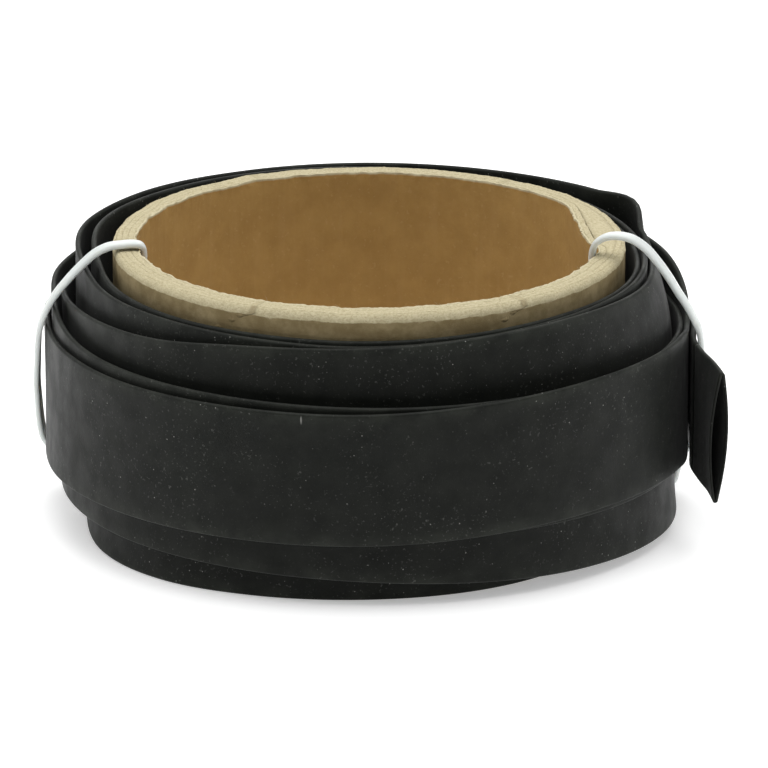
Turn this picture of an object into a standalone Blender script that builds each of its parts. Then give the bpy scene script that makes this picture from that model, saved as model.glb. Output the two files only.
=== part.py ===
"""A roll of flat grip sleeve: a card core, the sleeve wound round it and two cable ties.

Angles around the roll run clockwise from +X seen from above, the way the sleeve is wound,
and keep counting from turn to turn: 0 is the right side, 90 the front, 180 the left, 270 the back.
"""
from math import cos, pi, radians, sin, sqrt

import bmesh
import bpy
from mathutils import Matrix, Vector

MM = 0.001
UP = Vector((0, 0, 1))

# The roll's axis, placed so that the whole object's box is centred on the origin.
AXIS_X = -1.2 * MM
AXIS_Y = -0.56 * MM

# Card core: five plies, glued one round the other on the real tube.
CORE_BORE_RADIUS = 38.1 * MM
CORE_LENGTH = 45.5 * MM
CORE_BOTTOM = 1.5 * MM
CORE_TOP = CORE_BOTTOM + CORE_LENGTH
CORE_SEGMENTS = 48
MERGE_DISTANCE = 0.01 * MM
PLY_GAP = 0.2 * MM
PLIES = (
    ("core_liner", 0.4 * MM, (0.32, 0.19, 0.10)),
    ("core_ply_inner", 0.8 * MM, (0.61, 0.56, 0.38)),
    ("core_ply_middle", 0.8 * MM, (0.58, 0.53, 0.36)),
    ("core_ply_outer", 0.7 * MM, (0.61, 0.56, 0.38)),
    ("core_wrap", 0.4 * MM, (0.30, 0.24, 0.15)),
)

# Flat sleeve: a tube pressed flat, so its thickness is two walls.
SLEEVE_WIDTH = 22.5 * MM
SLEEVE_THICKNESS = 0.9 * MM
SLEEVE_WALL = 0.4 * MM
DEGREES_PER_POINT = 7.5

# The sleeve's way round the core: degrees along the winding, radius of its middle line and
# height of its lower edge in millimetres, and lean in degrees (positive leans outward at the top).
# One low turn comes first, then three high ones, one low again and two in between.
SLEEVE_ROUTE = (
    (10, 42.8, 1.4, 0), (45, 42.85, 0.2, 0), (90, 43.3, 0, -3), (115, 44.6, 0, -6),
    (135, 46, 0, -9), (155, 46.2, 0.2, -9), (172, 45.4, 1.4, -6), (195, 45.2, 2.6, -4),
    (225, 44.4, 7, -2), (270, 43.4, 15.5, 0), (310, 43.2, 21.6, 0), (335, 43.8, 22.4, 0),

    (360, 44.2, 21.2, -1), (405, 43.8, 21.4, -2), (450, 43.5, 20.8, -3), (475, 44, 21, -4),
    (495, 44.6, 21.1, -5), (520, 45, 21.4, -5), (535, 45, 22, -4), (557, 46.8, 23.6, -2),
    (585, 46, 23.9, 0), (630, 44.6, 23.9, 0), (678, 45.2, 23, 0), (700, 45.2, 22.4, 0),

    (720, 45.4, 21.6, -1), (765, 45.1, 21.4, -2), (810, 44.7, 20.3, -3), (835, 45.2, 20.6, -4),
    (855, 46, 20.9, -5), (880, 46.4, 20.7, -4), (895, 46.8, 21.2, -2), (917, 49.8, 22.8, 0),
    (935, 48.2, 24, 0), (965, 47, 24, 0), (1010, 46.4, 24.2, 0), (1042, 48.2, 24.4, 0),
    (1051, 49.8, 24.6, 0), (1062, 47.4, 22.4, -1),

    (1080, 47.1, 20.2, -4), (1125, 46.5, 21.6, -2), (1170, 45.9, 20.4, -3), (1195, 46.9, 19.8, -2),
    (1215, 48, 18.2, -1), (1240, 48.5, 16.8, 0), (1252, 48.8, 15.8, 1), (1277, 51.4, 14.2, 4),
    (1305, 50.6, 12, 3), (1350, 48.4, 6, 1), (1395, 50.2, 1.8, 0), (1415, 50.4, 1.4, -1),

    (1430, 49.6, 1.4, -3), (1454, 49.7, 1.4, -4), (1485, 49, 2.2, 0), (1530, 47.7, 4.3, 0),
    (1555, 48.5, 5.2, 0), (1575, 49.3, 5.6, 0), (1600, 49.8, 5.7, 0), (1614, 50.2, 5.6, 0),
    (1637, 51.9, 6, 4), (1665, 51.9, 8, 3), (1710, 49.8, 10, 0), (1755, 51.6, 10.6, 0),

    (1800, 51.1, 10.8, 0), (1845, 50.4, 11.6, 0), (1890, 49.3, 11.8, 2), (1915, 50, 12.2, 1),
    (1940, 50.7, 12.5, 0), (1960, 51, 12.8, -1), (1974, 51.3, 13.8, 0), (1984, 52.5, 14.4, 0),
    (1998, 54.1, 15.4, 2.5), (2025, 53.8, 16.8, 0), (2070, 51, 18, 0), (2110, 52.8, 18.2, 0),
    (2135, 53, 17, 0), (2147, 52.8, 14.2, 0),

    (2160, 52.2, 10.6, 0), (2175, 52.1, 11.9, 0), (2205, 51.8, 12.7, 1), (2250, 50.7, 11.2, 3),
    (2275, 51.4, 11.2, 2), (2300, 52, 11.1, 1), (2320, 52.3, 10.9, -1), (2334, 52.5, 10.4, -1),
    (2344, 53.8, 10.2, 0), (2356, 55.4, 10, 2.5), (2385, 55, 11, 0), (2430, 52.4, 11.4, 0),
    (2475, 54, 11, 0),

    (2505, 54, 10.4, 0), (2520, 53.4, 9.9, 0), (2526, 53.5, 9.6, 0), (2532, 55.5, 9.4, 0),
    (2537.8, 58.8, 9.2, 1), (2541.6, 61.1, 9, 2),
)
WINDING_START = 10
WINDING_END = 2528.5

# Loose end: the last stretch of sleeve, whose two walls part towards an open mouth.
END_START = 2529.0
END_MOUTH = 2541.6
END_STATIONS = 16
END_RING_POINTS = 12
POCKET_START = 0.15
MOUTH_HALF_OPENING = 1.1 * MM
MOUTH_GROWTH = 1.3
EDGE_SQUARENESS = 8
HEADING_STEP = 0.5

# Cable ties: strap section, head and pawl.
STRAP_WIDTH = 2.5 * MM
STRAP_THICKNESS = 1.0 * MM
STRAP_CHAMFER = 0.3 * MM
HEAD_INNER_RADIUS = 32.8 * MM
HEAD_OUTER_RADIUS = 36.4 * MM
HEAD_BOTTOM = 19.2 * MM
HEAD_TOP = 24.2 * MM
HEAD_WIDTH = 4.7 * MM
HEAD_BEVEL = 0.4 * MM
SLOT_WIDTH = 3.2 * MM
SLOT_BOTTOM = 20.2 * MM
SLOT_TOP = 22.9 * MM
PAWL_WIDTH = 2.4 * MM
PAWL_ROOT_RADIUS = 36.0 * MM
PAWL_TIP_RADIUS = 33.4 * MM
PAWL_BOTTOM = 20.5 * MM
PAWL_TOP = 21.15 * MM
PAWL_TIP_THICKNESS = 0.4 * MM

# Points of each strap as radius and height in millimetres, from the head's foot, down inside the
# bore, under the roll, up outside it, over the rim and down to the head's slot. The loop is skewed:
# its lower part stands further back round the roll, by TURN_BACK degrees at the bottom. The points
# beside the head give their own turn back as a third value.
TURN_BACK = 28.0
TURN_TOP = 50.0
HEAD_TURN = 15.7
STRAP_FOOT = (
    (35.7, 18.8, HEAD_TURN), (35.9, 16.8, 16.2), (36.7, 13.5, 19), (37, 10, 22), (37.1, 4, 25.6),
    (37.1, 1.9, 26.9), (37.6, 0.9, 27.5),
)
STRAP_TIP = (
    (37.1, 28, 12.3), (37.1, 24.6, 14.8), (37, 23, 15.5), (36.5, 22.15, HEAD_TURN),
    (35.6, 22, HEAD_TURN), (33.5, 22, HEAD_TURN), (31.4, 22, HEAD_TURN),
)
LEFT_OUTSIDE = (
    (38.6, 0.55), (42, 0.52), (46, 0.52), (49.3, 0.7), (51.6, 2), (53.2, 4.4), (54.4, 6.8), (55.4, 8.8),
    (56.1, 10.6), (56.1, 13), (55.9, 17), (55.7, 21), (55.3, 25), (55.2, 28.4), (54.9, 31.6), (53.9, 34.9),
    (52.1, 38.3), (49.5, 41.8), (47.3, 44.6), (45.2, 46.8), (43, 48), (40.6, 48.3), (38.7, 48.3),
    (37.5, 47.8), (37.1, 46.4), (37.1, 44), (37.1, 36),
)
RIGHT_OUTSIDE = (
    (38.6, 0.55), (42, 0.52), (46, 0.52), (48.8, 0.53), (50.8, 0.75), (52, 2), (52.3, 4.2), (52.5, 7),
    (53.7, 8.6), (54.9, 10.2), (55.4, 12.5), (55.3, 16), (55.2, 20), (55.3, 25), (55.3, 29.4), (54.8, 33),
    (53.8, 35.6), (52.6, 38), (51.2, 40.6), (49.7, 43.6), (48.2, 46.3), (46.5, 48.8), (44.6, 50.4),
    (42.7, 51), (40.7, 50.9), (39.1, 50.2), (37.8, 48.9), (37.2, 46.8), (37.1, 43), (37.1, 36),
)
# Name, azimuth of the top of the loop, way round in which it turns back, and outside points.
TIES = (
    ("tie_left", 170.0, 1, LEFT_OUTSIDE),
    ("tie_right", 14.0, -1, RIGHT_OUTSIDE),
)
POINTS_PER_STRAP_SPAN = 2

BLACK_SLEEVE = (0.016, 0.017, 0.016)
WHITE_NYLON = (0.82, 0.82, 0.80)
CARD_ROUGHNESS = 0.9
SLEEVE_ROUGHNESS = 0.55
NYLON_ROUGHNESS = 0.4


def clear_scene():
    for item in list(bpy.data.objects):
        bpy.data.objects.remove(item, do_unlink=True)


def make_collection(name):
    group = bpy.data.collections.new(name)
    bpy.context.scene.collection.children.link(group)
    return group


def make_material(name, colour, roughness):
    material = bpy.data.materials.new(name)
    material.use_nodes = True
    shader = material.node_tree.nodes["Principled BSDF"]
    shader.inputs["Base Color"].default_value = (*colour, 1.0)
    shader.inputs["Roughness"].default_value = roughness
    shader.inputs["Metallic"].default_value = 0.0
    return material


def add_object(name, data, group, parent, material):
    item = bpy.data.objects.new(name, data)
    group.objects.link(item)
    item.parent = parent
    if material:
        data.materials.append(material)
    return item


def smooth_values(rows, angle):
    """The row of values at an angle, on a smooth curve through the rows."""
    last = len(rows) - 1
    i = 0
    while i < last - 1 and rows[i + 1][0] <= angle:
        i += 1

    def slope(k, column):
        before = rows[max(k - 1, 0)]
        after = rows[min(k + 1, last)]
        return (after[column] - before[column]) / (after[0] - before[0])

    span = rows[i + 1][0] - rows[i][0]
    s = (angle - rows[i][0]) / span
    values = []
    for column in range(1, len(rows[i])):
        values.append(
            (2 * s**3 - 3 * s**2 + 1) * rows[i][column]
            + (s**3 - 2 * s**2 + s) * span * slope(i, column)
            + (3 * s**2 - 2 * s**3) * rows[i + 1][column]
            + (s**3 - s**2) * span * slope(i + 1, column)
        )
    return values


def round_the_roll(angle, radius, height):
    return Vector((radius * cos(radians(angle)), -radius * sin(radians(angle)), height))


def sleeve_middle(angle):
    """Middle of the sleeve's section at an angle, and its lean in radians."""
    radius, low, lean = smooth_values(SLEEVE_ROUTE, angle)
    lean = radians(lean)
    height = low * MM + SLEEVE_WIDTH / 2 * cos(lean)
    return round_the_roll(angle, radius * MM, height), lean


def make_ply(name, inner, thickness, group, parent, material):
    """One ply of the core: a rectangle turned about the roll's axis, outer side first."""
    profile = bpy.data.meshes.new(name)
    outer = inner + thickness
    corners = [(outer, CORE_TOP), (outer, CORE_BOTTOM), (inner, CORE_BOTTOM), (inner, CORE_TOP)]
    profile.from_pydata([(x, 0, z) for x, z in corners], [(0, 1), (1, 2), (2, 3), (3, 0)], [])
    ply = add_object(name, profile, group, parent, material)
    screw = ply.modifiers.new("turn", "SCREW")
    screw.axis = "Z"
    screw.steps = CORE_SEGMENTS
    screw.render_steps = CORE_SEGMENTS
    screw.use_merge_vertices = True
    screw.merge_threshold = MERGE_DISTANCE
    return ply


def make_winding(group, parent, material):
    """The wound stretch as one flat band with chamfered edges."""
    count = int((WINDING_END - WINDING_START) / DEGREES_PER_POINT)
    angles = [WINDING_START + DEGREES_PER_POINT * i for i in range(count)] + [WINDING_END]
    stations = [sleeve_middle(angle) for angle in angles]
    curve = bpy.data.curves.new("sleeve_winding", "CURVE")
    curve.dimensions = "3D"
    curve.twist_mode = "Z_UP"
    curve.extrude = (SLEEVE_WIDTH - SLEEVE_THICKNESS) / 2
    curve.bevel_depth = SLEEVE_THICKNESS / 2
    curve.bevel_resolution = 0
    curve.use_fill_caps = True
    line = curve.splines.new("POLY")
    line.points.add(len(stations) - 1)
    for point, (place, lean) in zip(line.points, stations):
        point.co = (*place, 1.0)
        point.tilt = -lean
    return add_object("sleeve_winding", curve, group, parent, material)


def end_ring(mesh, angle, opening, inset):
    """A ring round the loose end's section: its outside, or its pocket when inset is above 0."""
    middle, lean = sleeve_middle(angle)
    ahead, _ = sleeve_middle(min(angle + HEADING_STEP, END_MOUTH))
    behind, _ = sleeve_middle(angle - HEADING_STEP)
    forward = (ahead - behind).normalized()
    outward = Matrix.Rotation(-lean, 3, forward) @ UP.cross(forward).normalized()
    up = forward.cross(outward)
    ring = []
    half_width = SLEEVE_WIDTH / 2 - inset
    half_thickness = SLEEVE_THICKNESS / 2 - inset
    for i in range(2 * END_RING_POINTS):
        turn = pi * i / END_RING_POINTS
        across = cos(turn)
        side = 1 if i < END_RING_POINTS else -1
        bulge = opening * (1 - across**2) + half_thickness * sqrt(1 - across**EDGE_SQUARENESS)
        ring.append(mesh.verts.new(middle + up * half_width * across + outward * side * bulge))
    return ring


def bridge(mesh, first, second):
    for i in range(len(first)):
        j = (i + 1) % len(first)
        mesh.faces.new((first[i], first[j], second[j], second[i]))


def make_free_end(group, parent, material):
    """The loose end: a solid band that becomes a hollow, open-mouthed tube."""
    mesh = bmesh.new()
    outside = []
    pocket = []
    for i in range(END_STATIONS + 1):
        share = i / END_STATIONS
        angle = END_START + (END_MOUTH - END_START) * share
        parting = max(0, (share - POCKET_START) / (1 - POCKET_START))
        opening = MOUTH_HALF_OPENING * parting**MOUTH_GROWTH
        outside.append(end_ring(mesh, angle, opening, 0))
        if parting > 0:
            pocket.append(end_ring(mesh, angle, opening, SLEEVE_WALL))
    for rings in (outside, pocket):
        for first, second in zip(rings, rings[1:]):
            bridge(mesh, first, second)
    mesh.faces.new(outside[0])
    mesh.faces.new(pocket[0])
    bridge(mesh, outside[-1], pocket[-1])
    bmesh.ops.recalc_face_normals(mesh, faces=mesh.faces)
    data = bpy.data.meshes.new("sleeve_free_end")
    mesh.to_mesh(data)
    mesh.free()
    data.shade_smooth()
    hinge = bpy.data.objects.new("free_end_hinge", None)
    group.objects.link(hinge)
    hinge.parent = parent
    root, _ = sleeve_middle(END_START)
    hinge.location = root
    item = add_object("sleeve_free_end", data, group, hinge, material)
    data.transform(Matrix.Translation(-root))
    return item


def strap_line(outside):
    """Rows of radius, height and turn back along the whole strap, each span cut in equal steps."""
    rows = [(*point, TURN_BACK * (1 - point[1] / TURN_TOP)) for point in outside]
    rows = [*STRAP_FOOT, *rows, *STRAP_TIP]
    rows = [(index, *row) for index, row in enumerate(rows)]
    steps = (len(rows) - 1) * POINTS_PER_STRAP_SPAN
    return [smooth_values(rows, i / POINTS_PER_STRAP_SPAN) for i in range(steps + 1)]


def strap_ring(mesh, middle, heading, outward):
    """A chamfered oblong ring across the strap."""
    sideways = heading.cross(outward).normalized()
    outward = sideways.cross(heading)
    ring = []
    for side_out, side_across in ((1, 1), (-1, 1), (-1, -1), (1, -1)):
        corner = [(0, STRAP_CHAMFER), (STRAP_CHAMFER, 0)]
        if side_out != side_across:
            corner.reverse()
        for less_out, less_across in corner:
            out = side_out * (STRAP_THICKNESS / 2 - less_out)
            across = side_across * (STRAP_WIDTH / 2 - less_across)
            ring.append(mesh.verts.new(middle + outward * out + sideways * across))
    return ring


def make_strap(name, angle, way, outside, group, parent, material):
    """The strap's loop, lying flat on whatever it passes."""
    rows = strap_line(outside)
    middles = [round_the_roll(angle + way * back, r * MM, z * MM) for r, z, back in rows]
    mesh = bmesh.new()
    rings = []
    for i, (radius, height, back) in enumerate(rows):
        before = max(i - 1, 0)
        after = min(i + 1, len(rows) - 1)
        along_radius = rows[after][0] - rows[before][0]
        along_height = rows[after][1] - rows[before][1]
        radial = round_the_roll(angle + way * back, 1, 0)
        outward = (radial * along_height - UP * along_radius).normalized()
        heading = (middles[after] - middles[before]).normalized()
        rings.append(strap_ring(mesh, middles[i], heading, outward))
    for first, second in zip(rings, rings[1:]):
        bridge(mesh, first, second)
    mesh.faces.new(rings[0])
    mesh.faces.new(rings[-1])
    bmesh.ops.recalc_face_normals(mesh, faces=mesh.faces)
    data = bpy.data.meshes.new(name)
    mesh.to_mesh(data)
    mesh.free()
    return add_object(name, data, group, parent, material)


def box_mesh(name, low, high):
    mesh = bmesh.new()
    size = Vector(high) - Vector(low)
    middle = (Vector(high) + Vector(low)) / 2
    bmesh.ops.create_cube(mesh, size=1.0)
    bmesh.ops.scale(mesh, vec=size, verts=mesh.verts)
    bmesh.ops.translate(mesh, vec=middle, verts=mesh.verts)
    data = bpy.data.meshes.new(name)
    mesh.to_mesh(data)
    mesh.free()
    return data


def make_head(name, angle, group, cutters, parent, material):
    data = box_mesh(
        name,
        (HEAD_INNER_RADIUS, -HEAD_WIDTH / 2, HEAD_BOTTOM),
        (HEAD_OUTER_RADIUS, HEAD_WIDTH / 2, HEAD_TOP),
    )
    head = add_object(name, data, group, parent, material)
    head.rotation_euler = (0, 0, -radians(angle))
    bevel = head.modifiers.new("round", "BEVEL")
    bevel.width = HEAD_BEVEL
    bevel.segments = 2
    slot_data = box_mesh(
        name + "_slot",
        (HEAD_INNER_RADIUS - MM, -SLOT_WIDTH / 2, SLOT_BOTTOM),
        (HEAD_OUTER_RADIUS + MM, SLOT_WIDTH / 2, SLOT_TOP),
    )
    slot = add_object(name + "_slot", slot_data, cutters, parent, None)
    slot.rotation_euler = head.rotation_euler
    slot.hide_render = True
    slot.display_type = "WIRE"
    cut = head.modifiers.new("slot", "BOOLEAN")
    cut.object = slot
    cut.operation = "DIFFERENCE"
    cut.solver = "EXACT"
    return head


def make_pawl(name, angle, group, parent, material):
    """The tongue inside the head, on an empty that stands on its living hinge."""
    hinge = bpy.data.objects.new(name + "_hinge", None)
    group.objects.link(hinge)
    hinge.parent = parent
    hinge.rotation_euler = (0, 0, -radians(angle))
    root = Vector((PAWL_ROOT_RADIUS, 0, (PAWL_BOTTOM + PAWL_TOP) / 2))
    hinge.location = Matrix.Rotation(-radians(angle), 3, "Z") @ root
    length = PAWL_ROOT_RADIUS - PAWL_TIP_RADIUS
    half = (PAWL_TOP - PAWL_BOTTOM) / 2
    data = box_mesh(name, (-length, -PAWL_WIDTH / 2, -half), (0, PAWL_WIDTH / 2, half))
    for vertex in data.vertices:
        if vertex.co.x < -length / 2 and vertex.co.z < 0:
            vertex.co.z = half - PAWL_TIP_THICKNESS
    return add_object(name, data, group, hinge, material)


def build():
    clear_scene()
    group = make_collection("grip_tape_roll")
    cutters = make_collection("cutters")
    axis = bpy.data.objects.new("roll_axis", None)
    group.objects.link(axis)
    axis.location = (AXIS_X, AXIS_Y, 0)

    inner = CORE_BORE_RADIUS
    for name, thickness, colour in PLIES:
        make_ply(name, inner, thickness, group, axis, make_material(name, colour, CARD_ROUGHNESS))
        inner += thickness + PLY_GAP

    make_winding(group, axis, make_material("sleeve_winding", BLACK_SLEEVE, SLEEVE_ROUGHNESS))
    make_free_end(group, axis, make_material("sleeve_free_end", BLACK_SLEEVE, SLEEVE_ROUGHNESS))

    for name, angle, way, outside in TIES:
        head_angle = angle + way * HEAD_TURN
        strap = name + "_strap"
        head = name + "_head"
        pawl = name + "_pawl"
        look = (WHITE_NYLON, NYLON_ROUGHNESS)
        make_strap(strap, angle, way, outside, group, axis, make_material(strap, *look))
        make_head(head, head_angle, group, cutters, axis, make_material(head, *look))
        make_pawl(pawl, head_angle, group, axis, make_material(pawl, *look))


build()
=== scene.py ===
"""Looks of a roll of flat grip sleeve: a card core, the sleeve wound round it and two cable ties.

Angles around the roll run clockwise from +X seen from above and keep counting from turn to turn:
0 is the right side, 90 the front, 180 the left, 270 the back. Lengths are in metres, except in
the tables of points, which are in millimetres.
"""
from math import ceil, cos, pi, radians, sin, sqrt
from random import Random

import bpy
from mathutils import Matrix, Vector, noise


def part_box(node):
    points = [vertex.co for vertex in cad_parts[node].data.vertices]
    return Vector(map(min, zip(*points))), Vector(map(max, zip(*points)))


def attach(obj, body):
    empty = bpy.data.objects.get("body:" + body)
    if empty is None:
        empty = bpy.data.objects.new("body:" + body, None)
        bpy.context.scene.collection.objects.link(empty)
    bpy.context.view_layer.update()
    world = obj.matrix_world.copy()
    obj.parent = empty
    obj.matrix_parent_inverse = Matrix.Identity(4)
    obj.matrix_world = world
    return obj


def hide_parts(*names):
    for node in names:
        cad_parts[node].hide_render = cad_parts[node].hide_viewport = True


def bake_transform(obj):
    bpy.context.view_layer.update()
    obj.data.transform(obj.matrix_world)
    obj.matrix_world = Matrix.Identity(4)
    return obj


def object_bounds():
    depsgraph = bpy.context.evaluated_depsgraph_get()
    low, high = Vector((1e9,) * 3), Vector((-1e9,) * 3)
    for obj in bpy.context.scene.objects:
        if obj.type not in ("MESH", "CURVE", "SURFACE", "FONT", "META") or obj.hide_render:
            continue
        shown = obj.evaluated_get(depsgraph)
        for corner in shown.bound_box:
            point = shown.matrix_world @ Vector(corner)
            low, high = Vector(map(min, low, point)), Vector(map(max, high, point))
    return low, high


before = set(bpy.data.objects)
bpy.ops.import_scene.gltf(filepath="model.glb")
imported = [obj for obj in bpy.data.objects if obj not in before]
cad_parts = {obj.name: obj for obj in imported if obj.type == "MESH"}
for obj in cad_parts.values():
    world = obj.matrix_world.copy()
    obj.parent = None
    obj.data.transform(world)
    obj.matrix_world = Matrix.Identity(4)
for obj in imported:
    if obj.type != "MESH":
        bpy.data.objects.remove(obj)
CAD_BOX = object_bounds()

MM = 0.001
UP = Vector((0, 0, 1))

# Places read from the frame.
CORE_LOW, CORE_HIGH = (Vector(corner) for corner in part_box("core_wrap"))
AXIS = Vector(((CORE_LOW.x + CORE_HIGH.x) / 2, (CORE_LOW.y + CORE_HIGH.y) / 2, 0))
CORE_BOTTOM = CORE_LOW.z
CORE_TOP = CORE_HIGH.z
CORE_RADIUS = (CORE_HIGH.x - CORE_LOW.x) / 2

# Camera: a long lens from the front, a little above.
CAMERA_AIM = AXIS + Vector((2.46, 0, 22.25)) * MM
CAMERA_DISTANCE = 1.4
CAMERA_ELEVATION = 17.9
CAMERA_LENS = 398.3

# Card core.
LINER_THICKNESS = 0.4 * MM
RING_STEPS = 720
CUT_ROUNDING = 1.0 * MM
CUT_ROUGHNESS = 0.08 * MM
CUT_WAVE = 0.22 * MM
CUT_LIFT = 0.35 * MM
CUT_WAVE_SCALE = 7
LOWEST_CUT_POINT = -0.4 * MM
LIP_WAVE = 0.35 * MM
LIP_DEPTH = 1.6 * MM
# Scales of the raggedness, per millimetre, and where the slower one starts in the noise.
RAGGED_SCALE = 1.9
FRAY_SCALE = 0.45
FRAY_START = Vector((0, 0, 9))
BOTTOM_RAGGED_SHARE = 0.7
# Inner plies peel inwards here: degrees and inward travel in millimetres.
PEEL = (
    (-40, 0), (-34, 0.1), (-30, 0.3), (-24, 1.3), (-19, 2.2), (-12, 2.85), (-5, 3), (1, 2.5), (4, 1.9),
    (6, 1.2), (7.2, 0.65), (8.5, 0.35), (11, 0.12), (14, 0.05), (20, 0.3), (25, 0.3), (32, 0),
)
PEEL_DEPTH = 11 * MM
SEAM_PITCH = 46 * MM
SEAM_START = 20 * MM
SEAM_SLOPE = 1.6
FIBRE_SEED = 11
FIBRE_COUNT = 150
FIBRE_SECTIONS = 5
FIBRE_LENGTHS = (0.35, 1.1)
FIBRE_RADII = (0.02, 0.045)
FIBRE_TAPER = 0.6

# Flat sleeve. Its sizes are those of the CAD. So is its route, but for some rows at the left and
# the right, which lie up to 0.7 mm further in.
SLEEVE_WIDTH = 22.5 * MM
SLEEVE_THICKNESS = 0.9 * MM
SLEEVE_WALL = 0.4 * MM
# Degrees along the sleeve, radius of its middle and height of its low edge in millimetres, and its
# lean in degrees.
SLEEVE_ROUTE = (
    (10, 42.8, 1.4, 0), (45, 42.85, 0.2, 0), (90, 43.3, 0, -3), (115, 44.6, 0, -6),
    (135, 46, 0, -9), (155, 46.2, 0.2, -9), (172, 45.4, 1.4, -6), (195, 45.2, 2.6, -4),
    (225, 44.4, 7, -2), (270, 43.4, 15.5, 0), (310, 43.2, 21.6, 0), (335, 43.8, 22.4, 0),

    (360, 44.2, 21.2, -1), (405, 43.8, 21.4, -2), (450, 43.5, 20.8, -3), (475, 44, 21, -4),
    (495, 44.6, 21.1, -5), (520, 45, 21.4, -5), (535, 45, 22, -4), (557, 46.8, 23.6, -2),
    (585, 46, 23.9, 0), (630, 44.6, 23.9, 0), (678, 45.2, 23, 0), (700, 45.2, 22.4, 0),

    (720, 45.4, 21.6, -1), (765, 45.1, 21.4, -2), (810, 44.7, 20.3, -3), (835, 45.2, 20.6, -4),
    (855, 46, 20.9, -5), (880, 46.4, 20.7, -4), (895, 46.8, 21.2, -2), (917, 49.4, 22.8, 0),
    (935, 48.2, 24, 0), (965, 47, 24, 0), (1010, 46.4, 24.2, 0), (1042, 48.2, 24.4, 0),
    (1051, 49.8, 24.6, 0), (1062, 47.4, 22.4, -1),

    (1080, 47.1, 20.2, -4), (1125, 46.5, 21.6, -2), (1170, 45.9, 20.4, -3), (1195, 46.9, 19.8, -2),
    (1215, 48, 18.2, -1), (1240, 48.5, 16.8, 0), (1252, 48.8, 15.8, 1), (1277, 50.9, 14.2, 4),
    (1305, 50.6, 12, 3), (1350, 48.4, 6, 1), (1395, 50.2, 1.8, 0), (1415, 50.4, 1.4, -1),

    (1430, 49.6, 1.4, -3), (1454, 49.7, 1.4, -4), (1485, 49, 2.2, 0), (1530, 47.7, 4.3, 0),
    (1555, 48.5, 5.2, 0), (1575, 49.3, 5.6, 0), (1600, 49.8, 5.7, 0), (1614, 50.2, 5.6, 0),
    (1637, 51.6, 6, 3), (1665, 51.9, 8, 3), (1710, 49.8, 10, 0), (1755, 51.6, 10.6, 0),

    (1800, 51.1, 10.8, 0), (1845, 50.4, 11.6, 0), (1890, 49.3, 11.8, 2), (1915, 50, 12.2, 1),
    (1940, 50.7, 12.5, 0), (1960, 51, 12.8, -1), (1974, 51.3, 13.8, 0), (1984, 52, 14.4, 0),
    (1998, 53.4, 15.4, 2), (2025, 53.5, 16.8, 0), (2070, 51, 18, 0), (2110, 52.8, 18.2, 0),
    (2135, 53, 17, 0), (2147, 52.8, 14.2, 0),

    (2160, 52.2, 10.6, 0), (2175, 52.1, 11.9, 0), (2205, 51.8, 12.7, 1), (2250, 50.7, 11.2, 3),
    (2275, 51.4, 11.2, 2), (2300, 52, 11.1, 1), (2320, 52.3, 10.9, -1), (2334, 52.5, 10.4, -1),
    (2344, 53.2, 10.2, 0), (2356, 54.7, 10, 2), (2385, 54.8, 11, 0), (2430, 52.4, 11.4, 0),
    (2475, 54, 11, 0),

    (2505, 54, 10.4, 0), (2520, 53.4, 9.9, 0), (2526, 53.5, 9.6, 0), (2532, 55.5, 9.4, 0),
    (2537.8, 58.8, 9.2, 1), (2541.6, 61.1, 9, 2),
)
WINDING_START = 10
WINDING_END = 2529
END_MOUTH = 2541.6
WINDING_STEP = 1.5
END_STEP = 0.6
HEADING_STEP = 0.5
FACE_STEPS = 12
FOLD_STEPS = 8
FOLD_BEAD = 0.14
POCKET_START = 0.15
MOUTH_HALF_OPENING = 1.1 * MM
MOUTH_GROWTH = 1.3
# One turn bulges outward between its edges at the right side: degrees along it and millimetres.
BOW = ((1040, 0), (1062, 1.6), (1080, 2.3), (1110, 1.4), (1150, 0))

# Cable ties.
STRAP_WIDTH = 2.5 * MM
STRAP_THICKNESS = 1.0 * MM
STRAP_STEP = 0.22 * MM
TOOTH_PITCH = 0.88 * MM
TOOTH_DEPTH = 0.22 * MM
TOOTH_STEEPNESS = 1.35
STRAP_ROUNDING = 0.28 * MM
STRAP_RIM = 0.15 * MM
STRAP_POINTS_PER_ROW = 12
HEAD_ROUNDING = 0.12 * MM
# The loop is skewed: its lower part stands further back round the roll.
TURN_BACK = 28.0
TURN_TOP = 50.0
HEAD_TURN = 15.7
# Radius and height in millimetres, and degrees turned back, where a strap leaves its head and where
# it comes back into it. Between them run the outside points, which have radius and height only.
STRAP_FOOT = (
    (35.7, 19.4, HEAD_TURN), (35.9, 16.8, 16.2), (36.7, 13.5, 19), (37, 10, 22), (37.1, 4, 25.6),
    (37.1, 1.9, 26.9), (37.6, 0.9, 27.5),
)
STRAP_TIP = (
    (37.1, 28, 12.3), (37.1, 24.6, 14.8), (37, 23, 15.5), (36.5, 22.15, HEAD_TURN),
    (35.6, 22, HEAD_TURN), (33.5, 22, HEAD_TURN), (31.4, 22, HEAD_TURN),
)
LEFT_OUTSIDE = (
    (38.6, 0.55), (42, 0.52), (46, 0.52), (49.3, 0.7), (51.6, 2), (53.2, 4.4), (54.4, 6.8), (55.4, 8.8),
    (55.7, 10.6), (55.7, 13), (55.5, 17), (55.3, 21), (54.9, 25), (54.6, 28.4), (54.2, 31.6), (53.3, 34.9),
    (51.8, 38.3), (49.5, 41.8), (47.3, 44.6), (45.2, 46.8), (43, 48), (40.6, 48.3), (38.7, 48.3),
    (37.5, 47.8), (37.1, 46.4), (37.1, 44), (37.1, 36),
)
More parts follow.
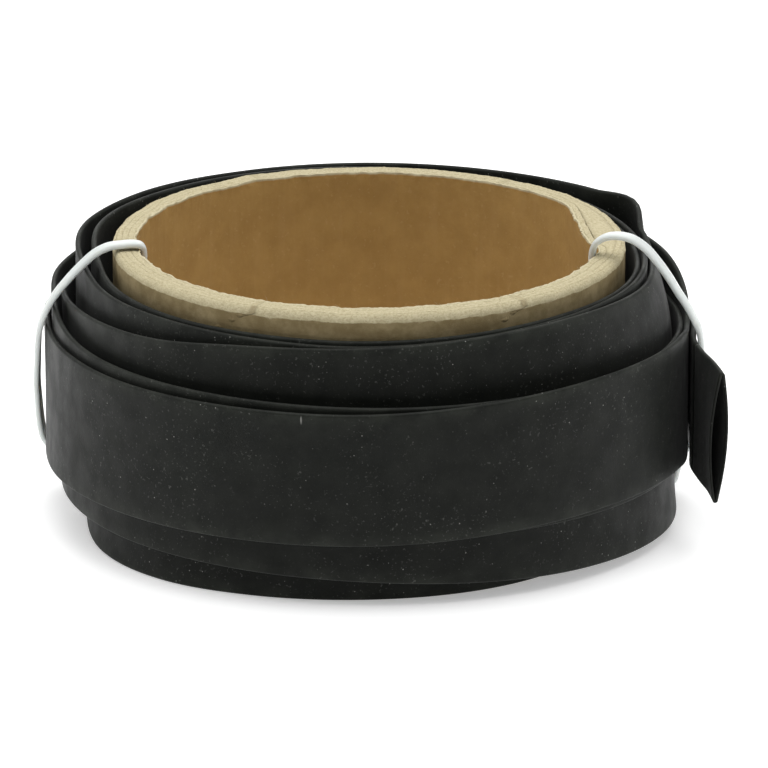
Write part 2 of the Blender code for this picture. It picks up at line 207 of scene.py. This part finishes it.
RIGHT_OUTSIDE = (
    (38.6, 0.55), (42, 0.52), (46, 0.52), (48.8, 0.53), (50.8, 0.75), (52, 2), (52.3, 4.2), (52.5, 7),
    (53.7, 8.6), (54.9, 10.2), (55.4, 12.5), (55.3, 16), (55, 20), (54.8, 25), (54.7, 29.4), (54.3, 33),
    (53.4, 35.6), (52.4, 38), (51.1, 40.6), (49.7, 43.6), (48.2, 46.3), (46.5, 48.8), (44.6, 50.4),
    (42.7, 51), (40.7, 50.9), (39.1, 50.2), (37.8, 48.9), (37.2, 46.8), (37.1, 43), (37.1, 36),
)
# Name, azimuth of the top of the loop, way round in which it turns back, and outside points.
TIES = (
    ("tie_left", 170.0, 1, LEFT_OUTSIDE),
    ("tie_right", 14.0, -1, RIGHT_OUTSIDE),
)

# Linear colours.
SLEEVE_DARK = (0.0040, 0.0050, 0.0036)
SLEEVE_LIGHT = (0.0078, 0.0090, 0.0068)
# Lighter colour for the band along the folds: partly dust, partly painted highlight of the rounded fold
# edges.
SLEEVE_DUST_AND_HIGHLIGHT = (0.026, 0.029, 0.023)
DUST = (0.30, 0.30, 0.28)
CARD_CREAM = (0.51, 0.455, 0.30)
CARD_SHADE = (0.385, 0.33, 0.20)
KRAFT = (0.385, 0.238, 0.078)
KRAFT_DARK = (0.325, 0.195, 0.062)
KRAFT_LIGHT = (0.45, 0.29, 0.12)
WRAP = (0.27, 0.215, 0.115)
WRAP_DARK = (0.185, 0.14, 0.068)
NYLON = (0.60, 0.64, 0.62)
NYLON_PALE = (0.68, 0.71, 0.69)
FLOOR = (0.86, 0.86, 0.86)
FLOOR_LIGHT = (0.88, 0.88, 0.88)

# Studio.
FLOOR_HALF = 4.0
FLOOR_DROP = 0.05 * MM
FLOOR_GLOW = 0.4
SKY_STRENGTH = 0.25
# Name, place, size and brightness of each soft box.
LIGHTS = (
    ("top", (0, 0.1, 1.7), 2.0, 8.0),
    ("left", (-1.5, 0.2, 0.75), 1.3, 5.0),
    ("right", (1.5, 0.2, 0.75), 1.3, 4.4),
    ("front", (0, -1.0, 1.7), 0.9, 6.0),
    ("back", (0, 1.8, 0.9), 1.4, 5.0),
)


def smooth_values(rows, angle):
    """The row of values at an angle, on a smooth curve through the rows."""
    last = len(rows) - 1
    i = 0
    while i < last - 1 and rows[i + 1][0] <= angle:
        i += 1

    def slope(k, column):
        before = rows[max(k - 1, 0)]
        after = rows[min(k + 1, last)]
        return (after[column] - before[column]) / (after[0] - before[0])

    span = rows[i + 1][0] - rows[i][0]
    s = (angle - rows[i][0]) / span
    values = []
    for column in range(1, len(rows[i])):
        values.append(
            (2 * s**3 - 3 * s**2 + 1) * rows[i][column]
            + (s**3 - 2 * s**2 + s) * span * slope(i, column)
            + (3 * s**2 - 2 * s**3) * rows[i + 1][column]
            + (s**3 - s**2) * span * slope(i + 1, column)
        )
    return values


def ease(value, low, high):
    """0 below low, 1 above high, smooth in between."""
    s = min(max((value - low) / (high - low), 0), 1)
    return s * s * (3 - 2 * s)


def round_the_roll(angle, radius, height):
    return AXIS + Vector((radius * cos(radians(angle)), -radius * sin(radians(angle)), height))


# ---------------------------------------------------------------- materials


class Look:
    """A material's node tree, with short calls for the nodes that the looks are made of."""

    def __init__(self, name):
        self.material = bpy.data.materials.new(name)
        self.material.use_nodes = True
        self.tree = self.material.node_tree
        self.shader = self.tree.nodes["Principled BSDF"]
        self.place = self.tree.nodes.new("ShaderNodeTexCoord").outputs["Object"]

    def put(self, socket, value):
        if isinstance(value, bpy.types.NodeSocket):
            self.tree.links.new(value, socket)
        elif isinstance(value, tuple) and len(value) == 3 and socket.type == "RGBA":
            socket.default_value = (*value, 1)
        else:
            socket.default_value = value

    def stretched(self, x, y, z):
        """The place with each axis scaled, in cells per metre."""
        node = self.tree.nodes.new("ShaderNodeMapping")
        node.inputs["Scale"].default_value = (x, y, z)
        self.put(node.inputs["Vector"], self.place)
        return node.outputs["Vector"]

    def noise(self, scale, detail=3.0, roughness=0.5, place=None):
        node = self.tree.nodes.new("ShaderNodeTexNoise")
        self.put(node.inputs["Vector"], place or self.place)
        node.inputs["Scale"].default_value = scale
        node.inputs["Detail"].default_value = detail
        node.inputs["Roughness"].default_value = roughness
        return node.outputs["Fac"]

    def cells(self, scale, place=None):
        """Distance to the nearest cell centre, and the cell's own random number."""
        node = self.tree.nodes.new("ShaderNodeTexVoronoi")
        self.put(node.inputs["Vector"], place or self.place)
        node.inputs["Scale"].default_value = scale
        split = self.tree.nodes.new("ShaderNodeSeparateColor")
        self.put(split.inputs["Color"], node.outputs["Color"])
        return node.outputs["Distance"], split.outputs["Red"]

    def range(self, value, low, high, new_low=0.0, new_high=1.0):
        node = self.tree.nodes.new("ShaderNodeMapRange")
        node.interpolation_type = "SMOOTHSTEP"
        self.put(node.inputs["Value"], value)
        node.inputs["From Min"].default_value = low
        node.inputs["From Max"].default_value = high
        node.inputs["To Min"].default_value = new_low
        node.inputs["To Max"].default_value = new_high
        return node.outputs["Result"]

    def math(self, kind, first, second=0.0):
        node = self.tree.nodes.new("ShaderNodeMath")
        node.operation = kind
        self.put(node.inputs[0], first)
        self.put(node.inputs[1], second)
        return node.outputs["Value"]

    def mix(self, share, first, second):
        node = self.tree.nodes.new("ShaderNodeMix")
        node.data_type = "RGBA"
        self.put(node.inputs["Factor"], share)
        self.put(node.inputs[6], first)
        self.put(node.inputs[7], second)
        return node.outputs[2]

    def attribute(self, name):
        node = self.tree.nodes.new("ShaderNodeAttribute")
        node.attribute_name = name
        return node.outputs["Fac"]

    def bump(self, height, distance, under=None):
        node = self.tree.nodes.new("ShaderNodeBump")
        node.inputs["Distance"].default_value = distance
        self.put(node.inputs["Height"], height)
        if under:
            self.put(node.inputs["Normal"], under)
        return node.outputs["Normal"]

    def finish(self, **values):
        for name, value in values.items():
            self.put(self.shader.inputs[name.replace("_", " ")], value)
        return self.material


def sleeve_look():
    """Matt black extrusion: faint mottle, a lighter band towards the folds that is partly dust and partly
    painted highlight, sparse dust and short scuffs.
    """
    look = Look("black_sleeve")
    colour = look.mix(look.range(look.noise(260, 5, 0.65), 0.3, 0.75), SLEEVE_DARK, SLEEVE_LIGHT)
    # Lighter band along both folds: partly dusty, partly painted highlight of the rounded fold edges.
    fold_band_mottle = look.range(look.noise(160, 5, 0.65), 0.3, 0.75)
    dust_and_highlight_share = look.math("MULTIPLY", look.attribute("fold"), fold_band_mottle)
    colour = look.mix(look.math("MULTIPLY", dust_and_highlight_share, 0.75), colour, SLEEVE_DUST_AND_HIGHLIGHT)
    distance, pick = look.cells(900)
    specks = look.math("MULTIPLY", look.range(distance, 0.11, 0.05), look.range(pick, 0.74, 0.76))
    cloud = look.range(look.noise(75, 3), 0.38, 0.6, 0.15, 1)
    specks = look.math("MULTIPLY", specks, cloud)
    colour = look.mix(look.math("MULTIPLY", specks, 0.8), colour, DUST)
    powder = look.range(look.noise(2100, 3, 0.6), 0.6, 0.72, 0, 0.16)
    colour = look.mix(look.math("MULTIPLY", powder, cloud), colour, DUST)
    scratch_distance, scratch_pick = look.cells(1, look.stretched(420, 420, 90))
    scratches = look.math(
        "MULTIPLY", look.range(scratch_distance, 0.09, 0.03), look.range(scratch_pick, 0.965, 0.97)
    )
    colour = look.mix(look.math("MULTIPLY", scratches, 0.5), colour, DUST)
    grain = look.bump(look.noise(3200, 2, 0.6), 0.00002)
    dents = look.bump(look.noise(120, 3, 0.5), 0.0002, grain)
    return look.finish(
        Base_Color=colour,
        Roughness=look.range(look.noise(240, 3), 0.3, 0.7, 0.5, 0.62),
        Specular_IOR_Level=0.13,
        Sheen_Weight=0.035,
        Sheen_Roughness=0.5,
        Normal=dents,
    )


def kraft_look():
    """Inner face of the core: brown kraft paper with faint upright streaks."""
    look = Look("kraft_liner")
    blotches = look.range(look.noise(190, 6, 0.65), 0.3, 0.72)
    colour = look.mix(blotches, KRAFT_DARK, KRAFT)
    streaks = look.noise(1, 3, 0.55, look.stretched(620, 620, 70))
    colour = look.mix(look.range(streaks, 0.45, 0.8, 0, 0.18), colour, KRAFT_LIGHT)
    flecks = look.noise(1500, 2, 0.5)
    colour = look.mix(look.range(flecks, 0.62, 0.72, 0, 0.4), colour, KRAFT_LIGHT)
    colour = look.mix(look.range(look.attribute("cut"), 0.35, 0.8), colour, CARD_CREAM)
    relief = look.bump(streaks, 0.00012, look.bump(look.noise(1400, 3), 0.00008))
    return look.finish(Base_Color=colour, Roughness=0.88, Specular_IOR_Level=0.2, Normal=relief)


def card_look(name, side, dark):
    """Card ply: cream and fuzzy where it is cut, its own colour on its face."""
    look = Look(name)
    face = look.mix(look.range(look.noise(260, 5, 0.65), 0.35, 0.68), dark, side)
    fuzz = look.noise(1, 5, 0.7, look.stretched(2600, 2600, 4200))
    cream = look.mix(look.range(fuzz, 0.35, 0.6), CARD_SHADE, CARD_CREAM)
    lines = look.range(look.attribute("ply_edge"), 0.72, 1.0, 0, 0.55)
    lines = look.math("MULTIPLY", lines, look.range(look.noise(700, 3), 0.4, 0.6))
    cream = look.mix(lines, cream, CARD_SHADE)
    ragged = look.math("ADD", look.attribute("cut"), look.range(look.noise(500, 4), 0.2, 0.8, -0.35, 0.35))
    colour = look.mix(look.range(ragged, 0.2, 0.75), face, cream)
    seam = look.range(look.attribute("seam"), 0.9, 0.25)
    seam_shade = look.math("MULTIPLY", seam, 0.5)
    colour = look.mix(seam_shade, colour, dark)
    ridge = look.bump(seam, 0.0002)
    relief = look.bump(fuzz, 0.00006, look.bump(look.noise(1300, 4, 0.6), 0.00005, ridge))
    return look.finish(Base_Color=colour, Roughness=0.92, Specular_IOR_Level=0.15, Normal=relief)


def fibre_look():
    look = Look("card_fibres")
    colour = look.mix(look.noise(900, 2), CARD_SHADE, CARD_CREAM)
    return look.finish(Base_Color=colour, Roughness=0.95, Specular_IOR_Level=0.1)


def nylon_look():
    """Natural nylon: milky, slightly see-through, with a soft moulded shine."""
    look = Look("natural_nylon")
    colour = look.mix(look.noise(130, 3), NYLON, NYLON_PALE)
    marks = look.bump(look.noise(900, 2), 0.00003)
    return look.finish(
        Base_Color=colour,
        Roughness=look.range(look.noise(500, 3), 0.3, 0.7, 0.32, 0.42),
        Subsurface_Weight=0.35,
        Subsurface_Radius=(0.0012, 0.0011, 0.001),
        Subsurface_Scale=1.0,
        Normal=marks,
    )


def floor_look():
    look = Look("floor")
    colour = look.mix(look.noise(12, 2), FLOOR, FLOOR_LIGHT)
    return look.finish(
        Base_Color=colour,
        Roughness=0.9,
        Specular_IOR_Level=0.1,
        Emission_Color=FLOOR,
        Emission_Strength=FLOOR_GLOW,
    )


# ---------------------------------------------------------------- mesh helpers


def make_piece(name, points, faces, material, body, stand_for, attributes=None):
    """A mesh piece that rides on a body and stands for CAD nodes."""
    mesh = bpy.data.meshes.new(name)
    mesh.from_pydata(points, [], faces)
    mesh.update()
    mesh.shade_smooth()
    mesh.materials.append(material)
    for label, values in (attributes or {}).items():
        layer = mesh.attributes.new(label, "FLOAT", "POINT")
        layer.data.foreach_set("value", values)
    piece = bpy.data.objects.new(name, mesh)
    bpy.context.scene.collection.objects.link(piece)
    if body:
        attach(piece, body)
    if stand_for:
        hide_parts(*stand_for)
    return piece


def loft_faces(ring_count, ring_size, closed):
    """Quads between neighbouring rings; the last ring meets the first when closed."""
    faces = []
    for i in range(ring_count if closed else ring_count - 1):
        first = i * ring_size
        second = ((i + 1) % ring_count) * ring_size
        for k in range(ring_size):
            n = (k + 1) % ring_size
            faces.append((first + k, first + n, second + n, second + k))
    return faces


def facing_out(points, faces):
    """The faces, turned over if they enclose a negative volume."""
    volume = 0.0
    for face in faces:
        a = points[face[0]]
        for i in range(1, len(face) - 1):
            volume += a.dot(points[face[i]].cross(points[face[i + 1]]))
    return faces if volume > 0 else [tuple(reversed(face)) for face in faces]


def capped_loft(points, ring_size):
    """Faces over a row of rings, with a cap at either end."""
    faces = loft_faces(len(points) // ring_size, ring_size, False)
    faces.append(tuple(reversed(range(ring_size))))
    faces.append(tuple(range(len(points) - ring_size, len(points))))
    return facing_out(points, faces)


# ---------------------------------------------------------------- card core


def peel_at(angle):
    """How far the inner plies stand in at an angle, in metres."""
    turned = (angle + 180) % 360 - 180
    if not PEEL[0][0] < turned < PEEL[-1][0]:
        return 0.0
    return max(0.0, smooth_values(PEEL, turned)[0]) * MM


def cut_drop(radius):
    """How far the cut edge is rounded down at a radius."""
    past = radius - (CORE_RADIUS - CUT_ROUNDING)
    if past <= 0:
        return 0.0
    past = min(past, CUT_ROUNDING)
    return CUT_ROUNDING - sqrt(CUT_ROUNDING**2 - past**2)


def ring_profile(inner, outer):
    """Radius, height, how much of a cut and how near a ply's face, round a ring's section."""
    height = CORE_TOP - CORE_BOTTOM
    wall = [0.0, 0.4 * MM, 3 * MM, 9 * MM, 16 * MM, 24 * MM, 32 * MM, 38 * MM]
    wall += [height - d * MM for d in (4, 2.4, 1.4, 0.8, 0.4, 0.15)]
    across = [i / 4 for i in range(5)]
    rows = []
    for z in wall:
        rows.append((inner, z, ease(z, height - 0.7 * MM, height), 1.0))
    for share in across:
        edge = abs(share * 2 - 1)
        rows.append((inner + (outer - inner) * share, height, 1.0, edge))
    for z in reversed(wall):
        rows.append((outer, z, ease(z, height - 1.1 * MM, height - 0.1 * MM), 1.0))
    for share in reversed(across[1:-1]):
        rows.append((inner + (outer - inner) * share, 0.0, 1.0, abs(share * 2 - 1)))
    return rows


def make_ring(node, inner, outer, material, peels, lip):
    """One ply: a ring with a ragged cut edge; peels is how far its inner and outer face stand in."""
    points = []
    cut = []
    ply_edge = []
    seam = []
    rows = ring_profile(inner, outer)
    height = CORE_TOP - CORE_BOTTOM
    for i in range(RING_STEPS):
        angle = 360 * i / RING_STEPS
        arc = CORE_RADIUS * radians(angle)
        direction = Vector((cos(radians(angle)), -sin(radians(angle)), 0))
        slow = noise.noise(direction * CUT_WAVE_SCALE) * CUT_WAVE
        for radius, z, cut_share, edge in rows:
            near_top = ease(z, height - LIP_DEPTH, height)
            spot = Vector((direction.x * radius, direction.y * radius, z)) / MM
            ragged = noise.fractal(spot * RAGGED_SCALE, 0.6, 2.0, 3) * CUT_ROUGHNESS
            fray = noise.fractal(spot * FRAY_SCALE + FRAY_START, 0.7, 2.0, 3) * LIP_WAVE * lip
            share = (radius - inner) / (outer - inner)
            parting = peels[0] + (peels[1] - peels[0]) * share
            shift = peel_at(angle) * parting * ease(z, height - PEEL_DEPTH, height)
            low = 1 - ease(z, 0, 1 * MM)
            rise = (CUT_LIFT + slow + ragged - cut_drop(radius)) * near_top
            rise += (ragged * BOTTOM_RAGGED_SHARE) * low
            place = direction * (radius - shift + fray * near_top)
            points.append(AXIS + place + UP * (CORE_BOTTOM + max(z + rise, LOWEST_CUT_POINT)))
            cut.append(cut_share)
            ply_edge.append(edge)
            diagonal = (arc - SEAM_START + z * SEAM_SLOPE) % SEAM_PITCH
            seam.append(min(diagonal, SEAM_PITCH - diagonal) / MM)
    faces = facing_out(points, loft_faces(RING_STEPS, len(rows), True))
    attributes = {"cut": cut, "ply_edge": ply_edge, "seam": seam}
    make_piece(node + "_card", points, faces, material, "roll", [node], attributes)


def make_core():
    cream_ply = card_look("card_ply", CARD_CREAM, CARD_SHADE)
    wrap = card_look("card_wrap", WRAP, WRAP_DARK)
    plies = (
        ("core_liner", kraft_look(), (1, 1), 1.0),
        ("core_ply_inner", cream_ply, (1, 1), 0.35),
        ("core_ply_middle", cream_ply, (0.955, 0), 0.1),
        ("core_ply_outer", cream_ply, (0, 0), 0.1),
        ("core_wrap", wrap, (0, 0), 0.3),
    )
    inner = (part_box("core_liner")[1][0] - AXIS.x) - LINER_THICKNESS
    for node, material, peels, lip in plies:
        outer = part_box(node)[1][0] - AXIS.x
        make_ring(node, inner, outer, material, peels, lip)
        inner = outer


def make_fibres():
    """Short paper hairs along the inner lip and the cut edge."""
    pick = Random(FIBRE_SEED)
    points = []
    faces = []
    lip_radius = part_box("core_liner")[1][0] - AXIS.x
    for _ in range(FIBRE_COUNT):
        angle = pick.uniform(0, 360)
        radius = pick.choice((lip_radius - 0.2 * MM, pick.uniform(lip_radius, CORE_RADIUS - CUT_ROUNDING)))
        radius -= peel_at(angle) * (1.0 if radius < lip_radius else 0.2)
        start = round_the_roll(angle, radius, CORE_TOP + CUT_LIFT - 0.1 * MM)
        heading = Vector((pick.uniform(-1, 1), pick.uniform(-1, 1), pick.uniform(0.1, 0.7))).normalized()
        curl = Vector((pick.uniform(-1, 1), pick.uniform(-1, 1), pick.uniform(-0.6, 0.5))) * 0.5
        length = pick.uniform(*FIBRE_LENGTHS) * MM
        thick = pick.uniform(*FIBRE_RADII) * MM
        base = len(points)
        side = heading.orthogonal().normalized()
        other = heading.cross(side)
        for s in range(FIBRE_SECTIONS):
            t = s / (FIBRE_SECTIONS - 1)
            centre = start + (heading * t + curl * t * t) * length
            width = thick * (1 - FIBRE_TAPER * t)
            for turn in (0, 2 * pi / 3, 4 * pi / 3):
                points.append(centre + (side * cos(turn) + other * sin(turn)) * width)
        body = loft_faces(FIBRE_SECTIONS, 3, False)
        last = 3 * FIBRE_SECTIONS - 1
        ends = [(2, 1, 0), (last - 2, last - 1, last)]
        faces += [tuple(base + k for k in face) for face in body + ends]
    make_piece("core_edge_fibres", points, faces, fibre_look(), "roll", [])


# ---------------------------------------------------------------- sleeve


def sleeve_middle(angle):
    """Middle of the sleeve's section at an angle, and its lean in radians."""
    radius, low, lean = smooth_values(SLEEVE_ROUTE, angle)
    lean = radians(lean)
    height = low * MM + SLEEVE_WIDTH / 2 * cos(lean)
    return round_the_roll(angle, radius * MM, height), lean


def sleeve_section(half_width, half_thickness, opening, bow):
    """Outline of the sleeve's section as (across, outward), with round folds at both edges."""
    outline = []
    straight = half_width - half_thickness
    for side in (1, -1):
        for i in range(FOLD_STEPS + 1):
            turn = pi / 2 - pi * i / FOLD_STEPS
            across = straight + half_thickness * cos(turn)
            outline.append((side * across, side * half_thickness * sin(turn)))
        for i in range(1, FACE_STEPS):
            across = straight * (1 - 2 * i / FACE_STEPS)
            share = abs(across) / straight
            flat = half_thickness * (1 - FOLD_BEAD * (1 - share**6))
            outline.append((side * across, -side * (flat + opening * (1 - share**2))))
    return [(across, out + bow * (1 - (across / half_width) ** 2)) for across, out in outline]


def sleeve_ring(angle, opening, inset):
    """Points round the sleeve at an angle: its outside, or its hollow when inset is above 0."""
    middle, lean = sleeve_middle(angle)
    ahead, _ = sleeve_middle(min(angle + HEADING_STEP, END_MOUTH))
    behind, _ = sleeve_middle(max(angle - HEADING_STEP, WINDING_START))
    forward = (ahead - behind).normalized()
    outward = Matrix.Rotation(-lean, 3, forward) @ UP.cross(forward).normalized()
    up = forward.cross(outward)
    bow = smooth_values(BOW, angle)[0] * MM if BOW[0][0] < angle < BOW[-1][0] else 0
    outline = sleeve_section(SLEEVE_WIDTH / 2 - inset, SLEEVE_THICKNESS / 2 - inset, opening, bow)
    return [middle + up * across + outward * out for across, out in outline]


def fold_shares():
    """How near each point of a ring is to a fold edge."""
    outline = sleeve_section(SLEEVE_WIDTH / 2, SLEEVE_THICKNESS / 2, 0, 0)
    return [ease(abs(across), 0.72 * SLEEVE_WIDTH / 2, SLEEVE_WIDTH / 2) for across, _ in outline]


def steps_between(start, end, step):
    count = ceil((end - start) / step)
    return [start + (end - start) * i / count for i in range(count + 1)]


def route_length(angles):
    places = [sleeve_middle(angle)[0] for angle in angles]
    return sum((b - a).length for a, b in zip(places, places[1:]))


def make_winding(material):
    angles = steps_between(WINDING_START, WINDING_END, WINDING_STEP)
    points = []
    for angle in angles:
        points += sleeve_ring(angle, 0, 0)
    faces = capped_loft(points, len(points) // len(angles))
    attributes = {"fold": fold_shares() * len(angles)}
    winding = make_piece(
        "sleeve_wound", points, faces, material, "roll", ["sleeve_winding"], attributes
    )
    route_length(angles)


def make_free_end(material):
    """The loose end: pressed flat where it leaves the roll, and parting to an open mouth."""
    angles = steps_between(WINDING_END, END_MOUTH, END_STEP)
    outside = []
    hollow = []
    for angle in angles:
        share = (angle - WINDING_END) / (END_MOUTH - WINDING_END)
        parting = max(0, (share - POCKET_START) / (1 - POCKET_START))
        opening = MOUTH_HALF_OPENING * parting**MOUTH_GROWTH
        outside.append(sleeve_ring(angle, opening, 0))
        if parting > 0:
            hollow.append(sleeve_ring(angle, opening, SLEEVE_WALL))
    rings = outside + hollow[::-1]
    points = [point for ring in rings for point in ring]
    faces = capped_loft(points, len(rings[0]))
    attributes = {"fold": fold_shares() * len(rings)}
    loose = make_piece(
        "sleeve_loose_end", points, faces, material, None, ["sleeve_free_end"], attributes
    )
    start, _ = sleeve_middle(WINDING_END)
    ahead, _ = sleeve_middle(WINDING_END + HEADING_STEP)
    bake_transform(loose)
    # Its walls part, so its flat size is the tube slit open: twice the width that it has lying flat.
    route_length(angles)


# ---------------------------------------------------------------- cable ties


def strap_line(angle, way, outside):
    """The strap's middle line in equal short steps, as places with the way out of the loop there."""
    rows = [(*point, TURN_BACK * (1 - point[1] / TURN_TOP)) for point in outside]
    rows = [(index, *row) for index, row in enumerate([*STRAP_FOOT, *rows, *STRAP_TIP])]
    count = STRAP_POINTS_PER_ROW * (len(rows) - 1)
    fine = [smooth_values(rows, i / STRAP_POINTS_PER_ROW) for i in range(count + 1)]
    places = [round_the_roll(angle + way * back, r * MM, z * MM) for r, z, back in fine]
    line = []
    travelled = 0.0
    for i in range(len(fine) - 1):
        length = (places[i + 1] - places[i]).length
        radial = round_the_roll(angle + way * fine[i][2], 1, 0) - AXIS
        out = radial * (fine[i + 1][1] - fine[i][1]) - UP * (fine[i + 1][0] - fine[i][0])
        while travelled + length >= STRAP_STEP * len(line):
            share = (STRAP_STEP * len(line) - travelled) / length
            line.append((places[i].lerp(places[i + 1], share), out))
        travelled += length
    return line


def strap_section(tooth):
    """Outline of the strap as (outward, sideways): crowned outside, toothed inside."""
    half = STRAP_THICKNESS / 2
    wide = STRAP_WIDTH / 2
    inside = -half + TOOTH_DEPTH * tooth
    rim = -half
    return [
        (half, 0),
        (half - 0.03 * MM, wide * 0.45),
        (half - 0.10 * MM, wide * 0.75),
        (half - STRAP_ROUNDING, wide * 0.95),
        (half - 2 * STRAP_ROUNDING, wide),
        (rim + STRAP_RIM, wide * 0.98),
        (rim, wide * 0.84),
        (rim, wide * 0.74),
        (inside, wide * 0.66),
        (inside, -wide * 0.66),
        (rim, -wide * 0.74),
        (rim, -wide * 0.84),
        (rim + STRAP_RIM, -wide * 0.98),
        (half - 2 * STRAP_ROUNDING, -wide),
        (half - STRAP_ROUNDING, -wide * 0.95),
        (half - 0.10 * MM, -wide * 0.75),
        (half - 0.03 * MM, -wide * 0.45),
    ]


def make_strap(name, angle, way, outside, material):
    line = strap_line(angle, way, outside)
    points = []
    for i, (centre, out) in enumerate(line):
        before, _ = line[max(i - 1, 0)]
        after, _ = line[min(i + 1, len(line) - 1)]
        heading = (after - before).normalized()
        sideways = heading.cross(out).normalized()
        out = sideways.cross(heading)
        phase = (i * STRAP_STEP / TOOTH_PITCH) % 1
        tooth = min(1.0, phase * TOOTH_STEEPNESS)
        points += [centre + out * a + sideways * b for a, b in strap_section(tooth)]
    faces = capped_loft(points, len(points) // len(line))
    node = name + "_strap"
    make_piece(name + "_band", points, faces, material, name, [node])


def make_head(name, material):
    """The tie's lock: the CAD block with its slot, in a rounder skin."""
    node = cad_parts[name + "_head"]
    head = node.copy()
    head.data = node.data.copy()
    head.name = name + "_lock"
    head.parent = None
    head.matrix_world = node.matrix_world
    bpy.context.scene.collection.objects.link(head)
    head.data.materials.clear()
    head.data.materials.append(material)
    bevel = head.modifiers.new("soft", "BEVEL")
    bevel.width = HEAD_ROUNDING
    bevel.segments = 3
    head.data.shade_smooth()
    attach(head, name)
    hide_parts(name + "_head")


def make_ties():
    nylon = nylon_look()
    for name, angle, way, outside in TIES:
        make_strap(name, angle, way, outside, nylon)
        make_head(name, nylon)
        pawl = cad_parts[name + "_pawl"]
        pawl.data.materials.clear()
        pawl.data.materials.append(nylon)


# ---------------------------------------------------------------- studio


def make_floor():
    corners = [(x * FLOOR_HALF, y * FLOOR_HALF, 0) for x, y in ((-1, -1), (1, -1), (1, 1), (-1, 1))]
    mesh = bpy.data.meshes.new("floor")
    mesh.from_pydata(corners, [], [(0, 1, 2, 3)])
    mesh.materials.append(floor_look())
    floor = bpy.data.objects.new("floor", mesh)
    floor.location.z = CAD_BOX[0][2] - FLOOR_DROP
    bpy.context.scene.collection.objects.link(floor)


def add_light(name, place, size, brightness):
    """A square soft box that faces the roll."""
    data = bpy.data.lights.new(name, "AREA")
    data.shape = "SQUARE"
    data.size = size
    data.energy = brightness * size * size
    light = bpy.data.objects.new(name, data)
    light.location = place
    light.rotation_euler = (CAMERA_AIM - Vector(place)).to_track_quat("-Z", "Y").to_euler()
    bpy.context.scene.collection.objects.link(light)


def make_lights():
    for name, place, size, brightness in LIGHTS:
        add_light(name, place, size, brightness)
    world = bpy.data.worlds.new("tent")
    bpy.context.scene.world = world
    world.use_nodes = True
    sky = world.node_tree.nodes["Background"]
    sky.inputs["Color"].default_value = (1, 1, 1, 1)
    sky.inputs["Strength"].default_value = SKY_STRENGTH


def make_camera():
    data = bpy.data.cameras.new("camera")
    data.lens = CAMERA_LENS
    data.clip_start = 0.01
    data.clip_end = 20
    camera = bpy.data.objects.new("camera", data)
    rise = radians(CAMERA_ELEVATION)
    camera.location = CAMERA_AIM + Vector((0, -cos(rise), sin(rise))) * CAMERA_DISTANCE
    camera.rotation_euler = (pi / 2 - rise, 0, 0)
    bpy.context.scene.collection.objects.link(camera)
    bpy.context.scene.camera = camera
    bpy.context.scene.view_settings.view_transform = "Standard"


make_camera()
make_core()
make_fibres()
sleeve = sleeve_look()
make_winding(sleeve)
make_free_end(sleeve)
make_ties()
make_floor()
make_lights()
